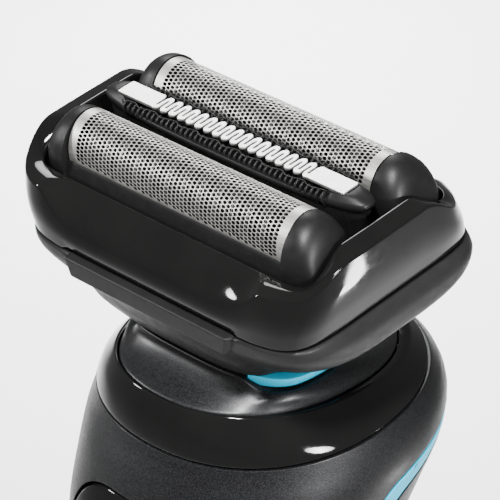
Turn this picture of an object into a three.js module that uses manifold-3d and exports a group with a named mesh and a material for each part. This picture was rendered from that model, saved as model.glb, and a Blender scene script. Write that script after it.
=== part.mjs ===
// A cordless foil shaver: a swivelling three-element shaving head on a slim upright handle.
// Millimetres, +Z up the handle, -Y is the front (power button side), +X is the user's right.
// The origin is the middle of the flat underside that the shaver stands on.
import * as THREE from "three";
import { mergeVertices } from "three/addons/utils/BufferGeometryUtils.js";
import Module from "manifold-3d";

// ---------- driving dimensions ----------
const GAP = 0.3; // clearance between pieces that meet
const WALL = 1.8; // thickness of the handle's shells

// The head has its own frame: origin in the middle of the trimmer's top face, +Z out of the foils.
const HEAD_Y = 1.85;
const HEAD_Z = 159.6;
const HEAD_TILT = THREE.MathUtils.degToRad(8.3); // the head leans towards the front
const PIVOT = { y: -2.35, z: -20.5 }; // swivel axis, in the head's frame

const SEAM_Z = -13.3; // lower edge of the cassette
const FOIL = { y: 7.2, half: 18.45, r: 3.78, rz: 4.37, z: -3.97, skin: 0.3, foot: -8.4 };
const FOIL_FRAME = { half: 22.8, outer: 4.9, inner: 4.2, floor: -11, ledge: -4.6, slot: 3.95 };
const CUTTER = { half: 16.6, r: 3.3, rz: 3.85, foot: -6.6 };
const TRIM = { half: 22.3, width: 3.2, top: -0.12, floor: -7, plateOut: 19.15, plateIn: 13.6, plateWidth: 1.37 };
const TEETH = 18; // zig-zag turns of the trimmer blade along each side
const BRIDGE = { halfX: 13.5, halfY: 9.4, top: -15.2, bottom: -16.2, pin: 0.9 };
const SPRING = { radius: 1.25, wire: 0.26, turns: 3 };

const CAP_TOP = 8; // the bottom cap's height
const SHOULDER_TOP = 129.1;
const SEAM_RISE = 0.13; // the shoulder seam climbs this much per millimetre towards the back
const SEAM_BASE = 124.56 - SEAM_RISE * HEAD_Y; // seam height on the handle's own axis
const NECK_Y = 2.5; // middle of the neck, front to back

// Cross-sections of the handle's outer surface: height, half width, half depth, middle, squareness.
const HANDLE = [
  { z: 0, a: 15.8, b: 12.2, y: 0.3, n: 2.6 },
  { z: 1.2, a: 17.6, b: 13.9, y: 0.3, n: 2.6 },
  { z: 4, a: 18.5, b: 14.8, y: 0.3, n: 2.6 },
  { z: 12, a: 19.1, b: 15.5, y: 0.3, n: 2.6 },
  { z: 35, a: 19.3, b: 15.8, y: 0.3, n: 2.6 },
  { z: 60, a: 19.5, b: 16.2, y: 0, n: 2.5 },
  { z: 85, a: 20.3, b: 17.4, y: -0.3, n: 2.4 },
  { z: 98, a: 20.7, b: 18.4, y: 0.2, n: 2.35 },
  { z: 106.5, a: 21.1, b: 19.2, y: 1.4, n: 2.3 },
  { z: 113.5, a: 21.9, b: 20.5, y: 4.4, n: 2.25 },
  { z: 119, a: 22.4, b: 21.6, y: 7.1, n: 2.2 },
  { z: 123, a: 21.8, b: 21.7, y: 8.3, n: 2.15 },
  { z: 126, a: 20.4, b: 21.1, y: 8, n: 2.15 },
  { z: SHOULDER_TOP, a: 17, b: 19, y: 6.8, n: 2.2 },
];

const STRIP_TOP = 120.9; // upper end of the side strips
// The side strip's front edge, seen from the side: height, distance behind the middle, strip width.
const STRIP = [
  { z: CAP_TOP, y: 1.2, w: 2.2 },
  { z: 45, y: 1.2, w: 2.4 },
  { z: 85, y: 1.4, w: 2.6 },
  { z: 100, y: 2, w: 2.8 },
  { z: 109, y: 3.1, w: 2.8 },
  { z: 113.5, y: 4.5, w: 2.8 },
  { z: 115.7, y: 5.9, w: 2.8 },
  { z: 117.2, y: 8, w: 2.7 },
  { z: 118.1, y: 10.4, w: 2.5 },
  { z: 118.9, y: 13.3, w: 2.1 },
  { z: 119.6, y: 16, w: 1.6 },
  { z: 120.3, y: 19, w: 1.1 },
  { z: STRIP_TOP, y: 21.6, w: 0.6 },
];
const PANEL = { half: 13, top: 114.6, corner: 9, bottom: 26, bottomHalf: 8.5 };
const BUTTON = { z: 88, halfX: 7.2, halfZ: 9.5 };
const WINDOW = { z: 52, halfX: 4.2, halfZ: 5.5 };
const GRIP = { halfX: 11.5, low: 28, high: 92, skin: 0.9 };

const BATTERY = { r: 7, low: 18, high: 68, y: 1.6 };
const MOTOR = { r: 9, low: 75, high: 102, y: NECK_Y };
const CAM = { r: 2.2, offset: 0.45, low: 104.6, high: 107, fork: 3.3 };
const LEVER_Z = 118; // the drive lever rocks about this height
const SOCKET = { y: 5, halfX: 4.7, halfY: 3.2, wall: 0.8, floor: 8, top: 9.6 };

// ---------- materials ----------
const finish = (color, roughness, metalness) =>
  new THREE.MeshStandardMaterial({ color, roughness, metalness });
const MATERIAL = {
  gloss: finish(0x0b0b0c, 0.08, 0),
  satin: finish(0x1c1d1e, 0.45, 0),
  matte: finish(0x2e2f30, 0.6, 0),
  metallic: finish(0x3a3c40, 0.35, 0.5),
  accent: finish(0x2fc6f0, 0.25, 0),
  steel: finish(0xc9c7c3, 0.25, 1),
  blade: finish(0xe6e4df, 0.2, 1),
  rubber: finish(0x18191a, 0.8, 0),
  board: finish(0x1c5a34, 0.5, 0),
  cell: finish(0x2f5f9a, 0.4, 0),
  brass: finish(0xc8a050, 0.3, 1),
  lens: finish(0x8fa6b0, 0.1, 0),
  inner: finish(0xd8d8d4, 0.5, 0),
};

// ---------- solids ----------
const wasm = await Module();
wasm.setup();

// A closed three.js geometry as a solid that can be joined and cut.
function solid(geometry) {
  const bare = new THREE.BufferGeometry();
  bare.setAttribute("position", geometry.getAttribute("position").clone());
  if (geometry.index) bare.setIndex(geometry.index.clone());
  const merged = mergeVertices(bare, 1e-4);
  return new wasm.Manifold(
    new wasm.Mesh({
      numProp: 3,
      vertProperties: merged.getAttribute("position").array,
      triVerts: new Uint32Array(merged.index.array),
    }),
  );
}

function geometryOf(body) {
  const mesh = body.getMesh();
  const geometry = new THREE.BufferGeometry();
  geometry.setAttribute("position", new THREE.BufferAttribute(new Float32Array(mesh.vertProperties), 3));
  geometry.setIndex(new THREE.BufferAttribute(new Uint32Array(mesh.triVerts), 1));
  geometry.computeVertexNormals();
  return geometry;
}

const join = (first, ...rest) => rest.reduce((sum, next) => sum.add(next), first);
const cut = (first, ...rest) => rest.reduce((left, tool) => left.subtract(tool), first);

// A block given by its two opposite corners.
function block(low, high) {
  const geometry = new THREE.BoxGeometry(high[0] - low[0], high[1] - low[1], high[2] - low[2]);
  geometry.translate((low[0] + high[0]) / 2, (low[1] + high[1]) / 2, (low[2] + high[2]) / 2);
  return solid(geometry);
}

// A round bar from one point to another.
function bar(from, to, radius, sides = 14) {
  const a = new THREE.Vector3(...from);
  const b = new THREE.Vector3(...to);
  const along = b.clone().sub(a);
  const geometry = new THREE.CylinderGeometry(radius, radius, along.length(), sides);
  const turn = new THREE.Quaternion().setFromUnitVectors(new THREE.Vector3(0, 1, 0), along.clone().normalize());
  geometry.applyQuaternion(turn);
  const middle = a.add(b).multiplyScalar(0.5);
  geometry.translate(middle.x, middle.y, middle.z);
  return solid(geometry);
}

function ball(centre, radius) {
  const geometry = new THREE.SphereGeometry(radius, 12, 7);
  geometry.translate(...centre);
  return solid(geometry);
}

// One closed outline between an ellipse (n = 2) and a rounded rectangle (n = 4 and more).
// Its rear half can have a squareness of its own.
function superRing({ z, a, b, y = 0, n = 2, rear = n }, sides) {
  return Array.from({ length: sides }, (_, i) => {
    const t = (2 * Math.PI * i) / sides;
    const c = Math.cos(t);
    const s = Math.sin(t);
    const power = 2 / (s > 0 ? rear : n);
    return new THREE.Vector3(
      a * Math.sign(c) * Math.abs(c) ** power,
      y + b * Math.sign(s) * Math.abs(s) ** power,
      z,
    );
  });
}

// A closed body through a row of outlines with equal numbers of points, capped at both ends.
function loftRings(rings) {
  const count = rings[0].length;
  const points = rings.flat();
  const index = [];
  for (let k = 0; k + 1 < rings.length; k++) {
    for (let i = 0; i < count; i++) {
      const j = (i + 1) % count;
      const [p, q, r, s] = [k * count + i, k * count + j, (k + 1) * count + j, (k + 1) * count + i];
      index.push(p, q, r, p, r, s);
    }
  }
  const middle = (ring) => ring.reduce((sum, p) => sum.add(p), new THREE.Vector3()).divideScalar(count);
  const low = points.push(middle(rings[0])) - 1;
  const high = points.push(middle(rings.at(-1))) - 1;
  const last = (rings.length - 1) * count;
  for (let i = 0; i < count; i++) {
    const j = (i + 1) % count;
    index.push(low, j, i, high, last + i, last + j);
  }
  return solid(new THREE.BufferGeometry().setFromPoints(points).setIndex(index));
}

const loft = (sections, sides = 32) => loftRings(sections.map((section) => superRing(section, sides)));

// A flat outline pushed from one height to another along Z.
function slab(points, low, high) {
  const shape = new THREE.Shape(points.map(([x, y]) => new THREE.Vector2(x, y)));
  const geometry = new THREE.ExtrudeGeometry(shape, { depth: high - low, bevelEnabled: false });
  geometry.translate(0, 0, low);
  return solid(geometry);
}

// The same, for an outline of [x, z] pairs pushed along Y.
function slabAlongY(points, low, high) {
  const shape = new THREE.Shape(points.map(([x, z]) => new THREE.Vector2(x, z)));
  const geometry = new THREE.ExtrudeGeometry(shape, { depth: high - low, bevelEnabled: false });
  geometry.rotateX(Math.PI / 2);
  geometry.translate(0, high, 0);
  return solid(geometry);
}

// The same, for an outline of [y, z] pairs pushed along X.
function slabAlongX(points, low, high) {
  const shape = new THREE.Shape(points.map(([y, z]) => new THREE.Vector2(y, z)));
  const geometry = new THREE.ExtrudeGeometry(shape, { depth: high - low, bevelEnabled: false });
  geometry.rotateX(Math.PI / 2);
  geometry.rotateZ(Math.PI / 2);
  geometry.translate(low, 0, 0);
  return solid(geometry);
}

// A half ellipse from the right over the top to the left, as [across, up] pairs.
function arch(middle, r, base, rz, steps = 14) {
  return Array.from({ length: steps + 1 }, (_, i) => {
    const t = (Math.PI * i) / steps;
    return [middle + r * Math.cos(t), base + rz * Math.sin(t)];
  });
}

class Helix extends THREE.Curve {
  constructor(centre, low, high) {
    super();
    Object.assign(this, { centre, low, high });
  }
  getPoint(t, target = new THREE.Vector3()) {
    const turn = 2 * Math.PI * SPRING.turns * t;
    return target.set(
      this.centre[0] + SPRING.radius * Math.cos(turn),
      this.centre[1] + SPRING.radius * Math.sin(turn),
      this.low + (this.high - this.low) * t,
    );
  }
}

// A coil spring standing between two heights.
function coilSpring(x, y, low, high) {
  const wire = new THREE.Shape(
    Array.from({ length: 4 }, (_, i) => {
      const t = (Math.PI * i) / 2;
      return new THREE.Vector2(SPRING.wire * Math.cos(t), SPRING.wire * Math.sin(t));
    }),
  );
  const path = new Helix([x, y], low + SPRING.wire, high - SPRING.wire);
  const steps = SPRING.turns * 9;
  return solid(new THREE.ExtrudeGeometry(wire, { steps, bevelEnabled: false, extrudePath: path }));
}

// ---------- scene graph ----------
const shaver = new THREE.Group();
shaver.name = "shaver";
const head = new THREE.Group();
head.position.set(0, HEAD_Y, HEAD_Z);
head.rotation.x = HEAD_TILT;
shaver.add(head);

function addPiece(group, name, material, body) {
  const mesh = new THREE.Mesh(geometryOf(body), material);
  mesh.name = name;
  group.add(mesh);
}

// A point of the head's frame in the handle's frame.
function fromHead(y, z) {
  return {
    y: HEAD_Y + y * Math.cos(HEAD_TILT) - z * Math.sin(HEAD_TILT),
    z: HEAD_Z + y * Math.sin(HEAD_TILT) + z * Math.cos(HEAD_TILT),
  };
}
const PIVOT_ROW = fromHead(PIVOT.y, PIVOT.z);

const { clamp } = THREE.MathUtils;
const smooth = (t) => THREE.MathUtils.smoothstep(t, 0, 1);

// ---------- head: cassette ----------
// High at both ends and low along the foils, front and back.
function cassetteFrame() {
  const sides = 56;
  const dip = ({ x, y }) => smooth((Math.abs(y) - 5) / 9) * (1 - clamp((Math.abs(x) - 9) / 9.6, 0, 1) ** 3);
  const rimZ = (p) => -2.8 - (p.y > 0 ? 4.8 : 3.2) * smooth((Math.abs(p.y) - 5) / 9) - 3.4 * dip(p);
  const openZ = (p) => -2.3 - 3.5 * smooth((Math.abs(p.y) - 4.5) / 7.9);
  const lower = superRing({ z: SEAM_Z, a: 23.9, b: 17.2, y: 0.2, n: 7 }, sides);
  const waist = superRing({ z: 0, a: 25.4, b: 17.2, y: 0.1, n: 6.6, rear: 5 }, sides);
  const rim = superRing({ z: 0, a: 26, b: 16.8, n: 5.2, rear: 4 }, sides);
  const opening = superRing({ z: 0, a: 23.2, b: 12.6, n: 14 }, sides);
  const inside = superRing({ z: SEAM_Z, a: 22.3, b: 13.4, n: 8 }, sides);
  for (let i = 0; i < sides; i++) {
    rim[i].z = rimZ(rim[i]);
    waist[i].z = (rim[i].z + SEAM_Z) / 2;
    opening[i].z = openZ(opening[i]);
    inside[i].x = clamp(inside[i].x * 1.06, -22.9, 22.9);
  }
  const rows = [lower, waist, rim, opening, inside];
  const index = [];
  rows.forEach((_, k) => {
    const next = (k + 1) % rows.length;
    for (let i = 0; i < sides; i++) {
      const j = (i + 1) % sides;
      const [p, q, r, s] = [k * sides + i, k * sides + j, next * sides + j, next * sides + i];
      index.push(p, q, r, p, r, s);
    }
  });
  const body = solid(new THREE.BufferGeometry().setFromPoints(rows.flat()).setIndex(index));
  const rinseSlot = block([-14.5, -20, SEAM_Z - 1], [14.5, -14, SEAM_Z + 0.55]);
  return cut(body, rinseSlot);
}

// A tongue inside each end of the cassette whose rounded nose grips a groove in the base.
function cassetteLatch(side) {
  const post = block([side * 21 - 0.5, -1.8, -17.5], [side * 21 + 0.5, 1.8, -11.4]);
  return join(post, bar([side * 21.6, -1.5, -16.4], [side * 21.6, 1.5, -16.4], 0.9, 12));
}

// One long carrier with a rounded dome at each end and an open window for its foil.
function foilFrame(side) {
  const middle = side * FOIL.y;
  const out = side > 0 ? FOIL_FRAME.outer : FOIL_FRAME.inner;
  const back = side > 0 ? FOIL_FRAME.inner : FOIL_FRAME.outer;
  const outline = (x, width, top) => {
    const ring = arch(middle, 1, 0, 1, 12).map(([y, up]) => {
      const across = y - middle;
      const reach = (across > 0 ? out : back) * width;
      return new THREE.Vector3(x, middle + across * reach, -5.4 + up * (top + 5.4));
    });
    ring.push(new THREE.Vector3(x, middle - back * width, FOIL_FRAME.floor));
    ring.push(new THREE.Vector3(x, middle + out * width, FOIL_FRAME.floor));
    return ring;
  };
  const stations = [
    [-FOIL_FRAME.half, 0.62, -4.2],
    [-22.4, 0.76, -2.5],
    [-21.7, 0.88, -0.9],
    [-20.6, 0.96, 0.1],
    [-19, 1, 0.45],
  ];
  const rings = [...stations, ...stations.map(([x, w, t]) => [-x, w, t]).reverse()];
  const body = loftRings(rings.map(([x, w, t]) => outline(x, w, t)));
  const reach = FOIL.half + 0.25;
  const above = block([-reach, middle - 8, FOIL_FRAME.ledge], [reach, middle + 8, 4]);
  const slot = block(
    [-reach, middle - FOIL_FRAME.slot, FOIL_FRAME.floor - 1],
    [reach, middle + FOIL_FRAME.slot, 4],
  );
  return cut(body, above, slot);
}

function foil(side) {
  const y = side * FOIL.y;
  const outer = [[y + FOIL.r, FOIL.foot], ...arch(y, FOIL.r, FOIL.z, FOIL.rz, 16), [y - FOIL.r, FOIL.foot]];
  const r = FOIL.r - FOIL.skin;
  const inner = [[y + r, FOIL.foot], ...arch(y, r, FOIL.z, FOIL.rz - FOIL.skin, 16), [y - r, FOIL.foot]];
  return slabAlongX([...outer, ...inner.reverse()], -FOIL.half, FOIL.half);
}

function cutterBlock(side) {
  const y = side * FOIL.y;
  const { r, rz, foot, half } = CUTTER;
  return slabAlongX([[y + r, foot], ...arch(y, r, FOIL.z, rz), [y - r, foot]], -half, half);
}

// The moulded holder under a cutter, with the blind socket that its drive pin works in.
function cutterCarrier(side) {
  const y = side * FOIL.y;
  const body = block([-12, y - 2.4, -10.7], [12, y + 2.4, CUTTER.foot - GAP]);
  return cut(body, bar([0, y, -11], [0, y, -7.4], BRIDGE.pin + 0.2));
}

// ---------- head: middle trimmer ----------
function trimmerComb() {
  const body = loft(
    [
      { z: TRIM.floor, a: TRIM.half - 1.1, b: 2.7, n: 2.8 },
      { z: -1.9, a: TRIM.half - 0.8, b: 2.75, n: 2.8 },
      { z: -1.3, a: TRIM.half, b: TRIM.width, n: 2.8 },
      { z: -0.5, a: TRIM.half - 0.3, b: TRIM.width - 0.15, n: 2.8 },
      { z: TRIM.top, a: TRIM.half - 1.6, b: TRIM.width - 0.8, n: 2.8 },
    ],
    32,
  );
  const channel = block([-19.45, -1.7, -1.6], [19.45, 1.7, 1]);
  const bladeRoom = block([-16.5, -1.4, -3.4], [16.5, 1.4, -1.5]);
  const stemRoom = block([-3.2, -1.2, TRIM.floor - 1], [3.2, 1.2, -3.3]);
  return cut(body, channel, bladeRoom, stemRoom);
}

// Two end plates joined by a flat zig-zag strip.
function trimmerBlade() {
  const pitch = (2 * TRIM.plateIn) / TEETH;
  const top = TRIM.plateWidth;
  const upper = [];
  const lower = [];
  for (let i = 0; i < TEETH; i++) {
    const crest = -TRIM.plateIn + pitch * (i + 0.25);
    const trough = crest + pitch / 2;
    upper.push([crest - 0.3, top], [crest + 0.3, top], [trough, -0.55]);
    lower.push([crest, 0.55], [trough - 0.3, -top], [trough + 0.3, -top]);
  }
  const { plateIn, plateOut } = TRIM;
  const outline = [
    ...[[-plateOut, -top], [-plateIn - 0.5, -top]],
    ...lower,
    ...[[plateIn + 0.5, -top], [plateOut, -top], [plateOut, top], [plateIn + 0.5, top]],
    ...upper.reverse(),
    ...[[-plateIn - 0.5, top], [-plateOut, top]],
  ];
  return slab(outline, -0.35, 0);
}

// The toothed bar that slides under the zig-zag, with the stem that the drive pin pushes.
function trimmerCutter() {
  const teeth = 14;
  const half = 15;
  const pitch = (2 * half) / teeth;
  const edge = (side) =>
    Array.from({ length: teeth }, (_, i) => -half + pitch * i).flatMap((x) => [
      [x, 1.15 * side],
      [x + pitch / 2, 1.15 * side],
      [x + pitch / 2, 0.6 * side],
      [x + pitch, 0.6 * side],
    ]);
  const comb = slab([...edge(-1), ...edge(1).reverse()], -1.4, -0.55);
  const stem = block([-1.6, -1, -6.4], [1.6, 1, -1.3]);
  return cut(join(comb, stem), bar([0, 0, -6.5], [0, 0, -3.4], 0.75, 12));
}

// ---------- head: base and drive bridge ----------
// The base's outer shape: a shallow bowl that narrows towards the neck.
const baseOuter = (lift) =>
  loft(
    [
      { z: -23.6 + lift, a: 15.2, b: 8.9, y: -1.9, n: 3.4 },
      { z: -21.5 + lift, a: 19.8, b: 12.6, y: -0.5, n: 3.4 },
      { z: -19.4 + lift, a: 23.4, b: 15.9, y: 0.9, n: 3.6, rear: 4 },
      { z: -17.8 + lift, a: 24.6, b: 17.1, y: 1, n: 4.2, rear: 5 },
      { z: -15.6 + lift, a: 24.7, b: 17.6, y: 0.6, n: 6, rear: 6.5 },
      { z: SEAM_Z - GAP + lift, a: 24.1, b: 17.3, y: 0.2, n: 7 },
    ],
    40,
  );

function headBase() {
  const tray = loft([{ z: -18, a: 22.3, b: 14.2, n: 4 }, { z: 0, a: 22.3, b: 14.2, n: 4 }], 32);
  const throat = loft(
    [{ z: -30, a: 12.4, b: 7.1, y: PIVOT.y, n: 4 }, { z: -17, a: 12.4, b: 7.1, y: PIVOT.y, n: 4 }],
    32,
  );
  const lipFace = [[-14.5, -13.6], [14.5, -13.6], [13.8, -16.2], [-13.8, -16.2]];
  const lip = slabAlongY(lipFace, -17.2, -15.6);
  const slotFace = block([-14.2, -16.2, -14.3], [14.2, -13, -13]);
  const pinHoles = bar([-17.6, PIVOT.y, PIVOT.z], [17.6, PIVOT.y, PIVOT.z], 1.4);
  const latchGrooves = block([-22.9, -2.1, -17.7], [22.9, 2.1, -10]);
  return cut(join(baseOuter(0), lip), tray, throat, slotFace, pinHoles, latchGrooves);
}

// The plate that carries the motor's stroke to all three cutting elements.
function driveBridge() {
  const { halfX, halfY, top, bottom, pin } = BRIDGE;
  const plate = loft([{ z: bottom, a: halfX, b: halfY, n: 5 }, { z: top, a: halfX, b: halfY, n: 5 }], 24);
  const pins = [-FOIL.y, FOIL.y].map((y) => bar([0, y, top - 0.4], [0, y, -9.8], pin, 12));
  const trimmerPin = bar([0, 0, top - 0.4], [0, 0, -5.2], 0.6, 12);
  const ball = [0, PIVOT.y, PIVOT.z];
  const socket = cut(
    bar([0, PIVOT.y, PIVOT.z - 1.3], [0, PIVOT.y, bottom + 0.4], 2.1),
    bar([0, PIVOT.y, PIVOT.z - 2], [0, PIVOT.y, PIVOT.z + 2.6], 1.35),
  );
  return join(plate, ...pins, trimmerPin, socket, block([-2, ball[1] - 1, bottom - 0.6], [2, ball[1] + 1, top]));
}

function swivelPin(side) {
  return bar([side * 8.9, PIVOT.y, PIVOT.z], [side * 16.6, PIVOT.y, PIVOT.z], 1.2);
}

// ---------- neck ----------
function accentRing() {
  const outer = loft(
    [{ z: 131.7, a: 13.8, b: 7.7, y: 2.1, n: 3.2 }, { z: 133.4, a: 14.9, b: 7.9, y: 1.7, n: 3.2 }],
    40,
  );
  const inner = loft(
    [{ z: 130, a: 12.7, b: 6.3, y: 1.9, n: 4 }, { z: 134, a: 12.7, b: 6.3, y: 1.9, n: 4 }],
    40,
  );
  return cut(outer, inner, block([-9.6, -10, 130], [9.6, -3.2, 135]));
}

// Flares from the shoulder up to the ring, with a wall in front that closes the ring's gap.
function neckCollar() {
  const flare = loft([
    { z: 126.6, a: 15.7, b: 17.6, y: 6, n: 2.3 },
    { z: 129.1, a: 15.8, b: 17.6, y: 6, n: 2.3 },
    { z: 130, a: 15.6, b: 14.6, y: 5, n: 2.5 },
    { z: 130.7, a: 15.2, b: 11, y: 3.4, n: 3 },
    { z: 131.3, a: 14.2, b: 8.4, y: 2.1, n: 3.2 },
  ]);
  const wall = loft([
    { z: 130.2, a: 9.6, b: 1.7, y: -5.1, n: 4 },
    { z: 132.5, a: 8.9, b: 1.2, y: -5.8, n: 4 },
    { z: 133.5, a: 8.6, b: 1, y: -6, n: 4 },
  ]);
  const hole = loft([{ z: 120, a: 11.4, b: 5.8, y: NECK_Y, n: 4 }, { z: 140, a: 11.4, b: 5.8, y: NECK_Y, n: 4 }], 28);
  return cut(join(flare, wall), hole);
}

// The upright that carries the head's pivots; the drive lever runs up through it.
function neckCore() {
  const upright = loft(
    [
      { z: 125, a: 10.9, b: 4.9, y: NECK_Y, n: 4 },
      { z: 138.6, a: 10.6, b: 4.5, y: NECK_Y, n: 4 },
      { z: 141.4, a: 9.6, b: 3.1, y: NECK_Y, n: 4 },
    ],
    28,
  );
  const foot = block([-10.4, -2.8, 114], [10.4, 9.2, 126.3]);
  const bay = block([-5.3, NECK_Y - 2.7, 113], [5.3, NECK_Y + 2.7, 121.5]);
  const bore = bar([0, NECK_Y, 120], [0, NECK_Y, 146], 2.3);
  const socketRoom = bar([0, NECK_Y, PIVOT_ROW.z - 3.4], [0, NECK_Y, 146], 3.5, 20);
  const pinHoles = bar([-14, PIVOT_ROW.y, PIVOT_ROW.z], [14, PIVOT_ROW.y, PIVOT_ROW.z], 1.45);
  const leverPinHole = bar([0, -4, LEVER_Z], [0, 11, LEVER_Z], 1.15, 12);
  const screws = [-7.6, 7.6].map((x) => bar([x, 7.2, 112], [x, 7.2, 121], 1.05, 12));
  return cut(join(upright, foot), bay, bore, socketRoom, pinHoles, leverPinHole, ...screws);
}

function neckSeal() {
  const outer = loft([{ z: 122.4, a: 13.8, b: 10.4, y: 3.2, n: 3 }, { z: 126.3, a: 13.8, b: 10.4, y: 3.2, n: 3 }], 28);
  const inner = loft([{ z: 120, a: 11.3, b: 6.9, y: 3.2, n: 8 }, { z: 128, a: 11.3, b: 6.9, y: 3.2, n: 8 }], 28);
  return cut(outer, inner);
}

// ---------- handle shells ----------
// The handle's section at a height, with its surface moved inwards.
function handleSection(z, inset = 0) {
  const above = Math.max(1, HANDLE.findIndex((s) => s.z >= z));
  const [p, q] = [HANDLE[above - 1], HANDLE[above]];
  const t = (z - p.z) / (q.z - p.z);
  const mix = (key) => THREE.MathUtils.lerp(p[key], q[key], t);
  return { z, a: mix("a") - inset, b: mix("b") - inset, y: mix("y"), n: mix("n") };
}

function handleBody(low, high, inset = 0) {
  const heights = HANDLE.map((s) => s.z).filter((z) => z > low && z < high);
  return loft([low, ...heights, high].map((z) => handleSection(z, inset)), 34);
}

// Everything above the shoulder seam, whose plane climbs towards the back.
function aboveSeam(offset) {
  const z = (y) => SEAM_BASE + SEAM_RISE * y + offset;
  return slabAlongX([[-40, z(-40)], [60, z(60)], [60, 200], [-40, 200]], -40, 40);
}

// The part of space behind and below a side strip's front edge, moved square to it by some distance.
function behindStrip(shift, widths = 0, top = STRIP_TOP, low = -5) {
  const edge = STRIP.map(({ z, y, w }, i) => {
    const before = STRIP[Math.max(i - 1, 0)];
    const after = STRIP[Math.min(i + 1, STRIP.length - 1)];
    const along = new THREE.Vector2(after.y - before.y, after.z - before.z).normalize();
    const distance = shift + w * widths;
    return [y + along.y * distance, z - along.x * distance];
  });
  if (top > STRIP_TOP) edge.push([edge.at(-1)[0], top]);
  return slabAlongX([[edge[0][0], low], ...edge, [60, top], [60, low]], -40, 40);
}

const superBox = (half, low, high, n, sides = 24) =>
  superRing({ z: 0, a: half, b: (high - low) / 2, n }, sides).map((p) => [p.x, (low + high) / 2 + p.y]);

// The front panel's outline, wider at its rounded top, drawn a little larger or smaller.
function panelOutline(grow) {
  const half = PANEL.half + grow;
  const top = PANEL.top + grow;
  const low = PANEL.bottom - grow;
  const lowHalf = PANEL.bottomHalf + grow;
  const steps = 6;
  const quarter = (from, middleX, middleZ, r) =>
    Array.from({ length: steps + 1 }, (_, i) => {
      const t = from + (Math.PI / 2) * (i / steps);
      return [middleX + r * Math.cos(t), middleZ + r * Math.sin(t)];
    });
  const r = PANEL.corner;
  return [
    ...quarter(0, half - r, top - r, r),
    ...quarter(Math.PI / 2, r - half, top - r, r),
    ...quarter(Math.PI, 6 - lowHalf, low + 6, 6),
    ...quarter(1.5 * Math.PI, lowHalf - 6, low + 6, 6),
  ];
}

const shell = cut(handleBody(CAP_TOP + GAP, SHOULDER_TOP), handleBody(CAP_TOP, SHOULDER_TOP, WALL));
const wallBelow = cut(shell, aboveSeam(-GAP / 2));

function frontShell() {
  const panel = slabAlongY(panelOutline(GAP), -40, -4);
  const back = behindStrip(-GAP, 0, STRIP_TOP + GAP);
  return cut(wallBelow, panel, back);
}

function rearShell() {
  const recess = cut(handleBody(5, 120, -2), handleBody(4, 121, GRIP.skin + 0.25));
  const window = slabAlongY(superBox(GRIP.halfX + 0.3, GRIP.low - 0.3, GRIP.high + 0.3, 5), 4, 60);
  return cut(wallBelow.intersect(behindStrip(GAP, 1)), recess.intersect(window));
}

function sideStrip(side) {
  const band = wallBelow.intersect(cut(behindStrip(0), behindStrip(0, 1, STRIP_TOP + 2, -9)));
  const half = side > 0 ? block([3, -60, -5], [60, 60, 200]) : block([-60, -60, -5], [-3, 60, 200]);
  return band.intersect(half);
}

function rearGrip() {
  const skin = cut(handleBody(5, 120), handleBody(4, 121, GRIP.skin));
  return skin.intersect(slabAlongY(superBox(GRIP.halfX, GRIP.low, GRIP.high, 5), 4, 60));
}

const buttonOutline = (grow) =>
  superBox(BUTTON.halfX + grow, BUTTON.z - BUTTON.halfZ - grow, BUTTON.z + BUTTON.halfZ + grow, 2.4);
const windowOutline = (grow) =>
  superBox(WINDOW.halfX + grow, WINDOW.z - WINDOW.halfZ - grow, WINDOW.z + WINDOW.halfZ + grow, 3.5);

function frontPanel() {
  const plate = shell.intersect(slabAlongY(panelOutline(0), -40, -4));
  return cut(plate, slabAlongY(buttonOutline(GAP), -40, 0), slabAlongY(windowOutline(GAP), -40, 0));
}

// The button's cap is part of the handle's surface, with a stem that reaches the switch.
function powerButton() {
  const cap = shell.intersect(slabAlongY(buttonOutline(0), -40, -4));
  return join(cap, bar([0, -16.6, BUTTON.z], [0, -12.9, BUTTON.z], 2));
}

function indicatorWindow() {
  return shell.intersect(slabAlongY(windowOutline(0), -40, -4));
}

function shoulderCover() {
  const ring = cut(handleBody(115, SHOULDER_TOP), handleBody(114, SHOULDER_TOP - 1.6, 2));
  const hole = loft([{ z: 110, a: 16.1, b: 17.9, y: 6, n: 2.25 }, { z: 140, a: 16.1, b: 17.9, y: 6, n: 2.25 }], 40);
  return cut(ring, hole).intersect(aboveSeam(GAP / 2));
}

// ---------- handle: ends and internals ----------
// A block around the charging socket's outline, grown by some distance.
function socketBlock(grow, low, high) {
  const x = SOCKET.halfX + grow;
  const y = SOCKET.halfY + grow;
  return block([-x, SOCKET.y - y, low], [x, SOCKET.y + y, high]);
}

function bottomCap() {
  const body = handleBody(0, CAP_TOP);
  const socketHole = socketBlock(0.2, -1, 10);
  const hollow = loft([{ z: 3.5, a: 15.6, b: 12, n: 2.6 }, { z: 10, a: 15.6, b: 12, n: 2.6 }], 28);
  const wellWall = socketBlock(1.4, 3.4, CAP_TOP);
  const holes = [-11, 11].map((x) => join(bar([x, 0, 2], [x, 0, 9], 1.1), bar([x, 0, -1], [x, 0, 2.2], 1.9)));
  return cut(join(cut(body, hollow), wellWall), socketHole, ...holes);
}

function chargingSocket() {
  const { y, wall, floor, top } = SOCKET;
  const cup = cut(socketBlock(0, 0.4, top), socketBlock(-wall, -1, floor));
  return cut(cup, ...[-1.8, 1.8].map((x) => bar([x, y, 4], [x, y, 12], 0.85, 12)));
}

const chargePin = (side) => bar([side * 1.8, SOCKET.y, 5.1], [side * 1.8, SOCKET.y, 10.8], 0.7, 12);

// A screw standing head down: its head is at the low end.
function screw(x, y, z, length) {
  const headPart = bar([x, y, z], [x, y, z + 1.4], 1.6, 14);
  return cut(join(headPart, bar([x, y, z + 1.2], [x, y, z + length], 0.9, 12)), block([x - 1, y - 0.2, z - 1], [x + 1, y + 0.2, z + 0.5]));
}

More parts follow.
